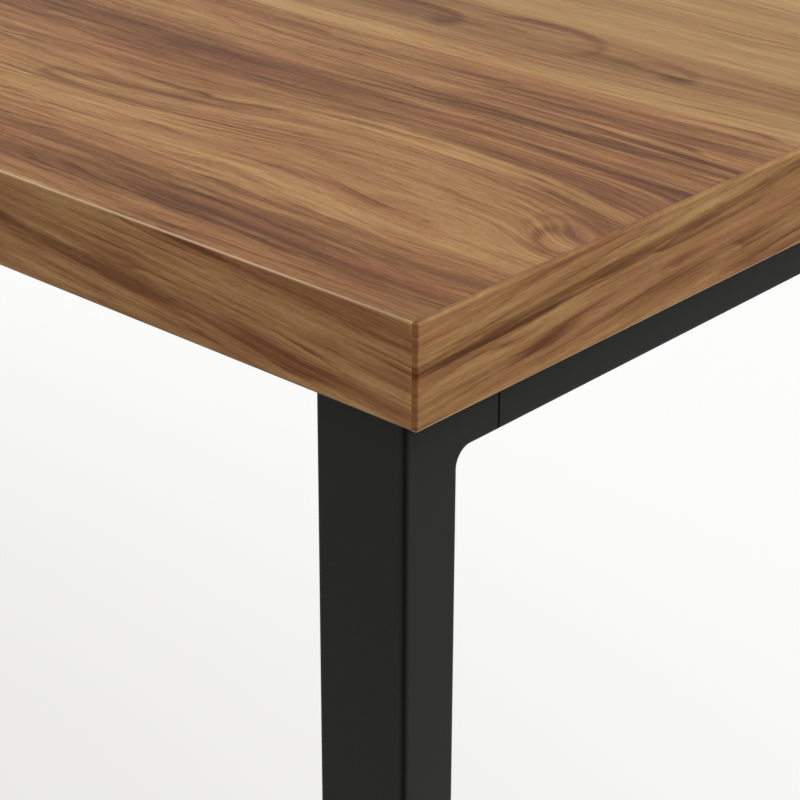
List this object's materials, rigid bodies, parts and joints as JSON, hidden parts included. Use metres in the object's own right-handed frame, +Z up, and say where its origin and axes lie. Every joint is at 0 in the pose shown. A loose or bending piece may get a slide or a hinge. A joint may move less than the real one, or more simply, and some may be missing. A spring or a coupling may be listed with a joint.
{
  "type": "table",
  "caption": "Rectangular table: a thick walnut-faced top on a black steel frame with end rails, recessed long rails and levelling feet.",
  "frame": {"origin": "on the floor under the middle of the top", "axes": "+X along the table's length, +Y across it towards the back, +Z up"},
  "size_m": [1.524, 0.762, 0.75],
  "materials": {
    "walnut_face": "satin lacquered walnut sheet, grain along the table",
    "walnut_band": "satin lacquered walnut edge band, grain along the edge",
    "walnut_backing": "plain sealed backing sheet",
    "board_core": "bare particle board",
    "black_powder_coat": "matt to satin black powder coat",
    "black_oxide_steel": "black oxide",
    "zinc_steel": "bright zinc plate",
    "brass": "turned",
    "black_nylon": "moulded, fine texture",
    "grip_rubber": "matt"
  },
  "bodies": {
    "table": {"top_core": "board_core", "top_face_sheet": "walnut_face", "top_backing_sheet": "walnut_backing", "edge_band_front": "walnut_band", "edge_band_back": "walnut_band", "edge_band_left": "walnut_band", "edge_band_right": "walnut_band", "end_rail_left": "black_powder_coat", "end_rail_right": "black_powder_coat", "long_rail_front": "black_powder_coat", "long_rail_back": "black_powder_coat", "corner_screws": "black_oxide_steel", "rail_rivet_nuts": "zinc_steel", "rail_bolts": "black_oxide_steel", "top_inserts": "brass", "top_screws": "black_oxide_steel", "leg_front_left": "black_powder_coat", "corner_spigot_front_left": "zinc_steel", "foot_plug_front_left": "black_nylon", "foot_bush_front_left": "zinc_steel", "leg_front_right": "black_powder_coat", "corner_spigot_front_right": "zinc_steel", "foot_plug_front_right": "black_nylon", "foot_bush_front_right": "zinc_steel", "leg_back_left": "black_powder_coat", "corner_spigot_back_left": "zinc_steel", "foot_plug_back_left": "black_nylon", "foot_bush_back_left": "zinc_steel", "leg_back_right": "black_powder_coat", "corner_spigot_back_right": "zinc_steel", "foot_plug_back_right": "black_nylon", "foot_bush_back_right": "zinc_steel"},
    "foot_front_left": {"foot_pad_front_left": "black_nylon", "foot_grip_front_left": "grip_rubber"},
    "stem_front_left": {"foot_stem_front_left": "zinc_steel"},
    "foot_front_right": {"foot_pad_front_right": "black_nylon", "foot_grip_front_right": "grip_rubber"},
    "stem_front_right": {"foot_stem_front_right": "zinc_steel"},
    "foot_back_left": {"foot_pad_back_left": "black_nylon", "foot_grip_back_left": "grip_rubber"},
    "stem_back_left": {"foot_stem_back_left": "zinc_steel"},
    "foot_back_right": {"foot_pad_back_right": "black_nylon", "foot_grip_back_right": "grip_rubber"},
    "stem_back_right": {"foot_stem_back_right": "zinc_steel"}
  },
  "joints": [
    {"name": "foot_travel_front_left", "type": "slide", "parent": "table", "child": "foot_front_left", "axis": [0, 0, -1], "range_m": [0, 0.012]},
    {"name": "stem_turn_front_left", "type": "hinge", "parent": "foot_front_left", "child": "stem_front_left", "pos_m": [-0.73445, -0.3638, 0.01], "axis": [0, 0, -1], "range_deg": [0, 3460]},
    {"name": "foot_travel_front_right", "type": "slide", "parent": "table", "child": "foot_front_right", "axis": [0, 0, -1], "range_m": [0, 0.012]},
    {"name": "stem_turn_front_right", "type": "hinge", "parent": "foot_front_right", "child": "stem_front_right", "pos_m": [0.73445, -0.3638, 0.01], "axis": [0, 0, -1], "range_deg": [0, 3460]},
    {"name": "foot_travel_back_left", "type": "slide", "parent": "table", "child": "foot_back_left", "axis": [0, 0, -1], "range_m": [0, 0.012]},
    {"name": "stem_turn_back_left", "type": "hinge", "parent": "foot_back_left", "child": "stem_back_left", "pos_m": [-0.73445, 0.3638, 0.01], "axis": [0, 0, -1], "range_deg": [0, 3460]},
    {"name": "foot_travel_back_right", "type": "slide", "parent": "table", "child": "foot_back_right", "axis": [0, 0, -1], "range_m": [0, 0.012]},
    {"name": "stem_turn_back_right", "type": "hinge", "parent": "foot_back_right", "child": "stem_back_right", "pos_m": [0.73445, 0.3638, 0.01], "axis": [0, 0, -1], "range_deg": [0, 3460]}
  ],
  "couplings": [
    {"joint": "stem_turn_front_left", "follows": "foot_travel_front_left", "rad_per_m": 5026.5},
    {"joint": "stem_turn_front_right", "follows": "foot_travel_front_right", "rad_per_m": 5026.5},
    {"joint": "stem_turn_back_left", "follows": "foot_travel_back_left", "rad_per_m": 5026.5},
    {"joint": "stem_turn_back_right", "follows": "foot_travel_back_right", "rad_per_m": 5026.5}
  ]
}
